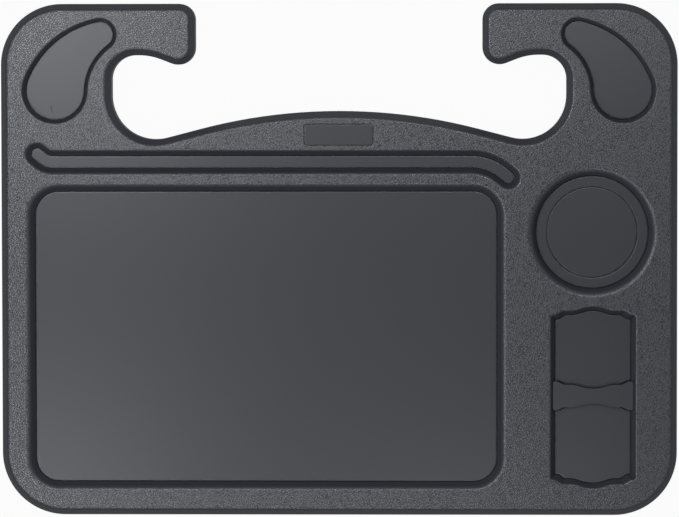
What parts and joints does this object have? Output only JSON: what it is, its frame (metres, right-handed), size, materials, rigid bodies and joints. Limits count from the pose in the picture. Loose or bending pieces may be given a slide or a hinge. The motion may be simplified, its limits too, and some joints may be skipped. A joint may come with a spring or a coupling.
{
  "type": "steering wheel tray",
  "caption": "Flat desk tray with two hooks for a steering wheel rim, a main dish, pen groove, cup well and pockets.",
  "frame": {"origin": "under the middle of the tray's bounding box, on the plane that the back rests on", "axes": "+Z out of the front face, +Y towards the hooks, +X towards the side with the cup well"},
  "size_m": [0.425, 0.322, 0.022],
  "materials": {
    "grained_shell": "fine pebble grain, semi-matt black",
    "smooth_inlay": "smooth satin black",
    "badge": "smooth satin black, bare",
    "screw": "black zinc"
  },
  "bodies": {
    "root": {"front_shell": "grained_shell", "back_shell": "grained_shell", "main_panel": "smooth_inlay", "pen_groove_liner": "smooth_inlay", "left_hook_inlay": "smooth_inlay", "right_hook_inlay": "smooth_inlay", "cup_ring": "smooth_inlay", "cup_disc": "smooth_inlay", "upper_pocket_liner": "smooth_inlay", "lower_pocket_liner": "smooth_inlay", "pocket_bridge": "smooth_inlay", "badge_plate": "badge", "screw_01": "screw", "screw_02": "screw", "screw_03": "screw", "screw_04": "screw", "screw_05": "screw", "screw_06": "screw", "screw_07": "screw", "screw_08": "screw", "screw_09": "screw", "screw_10": "screw", "screw_11": "screw", "screw_12": "screw"}
  },
  "joints": []
}
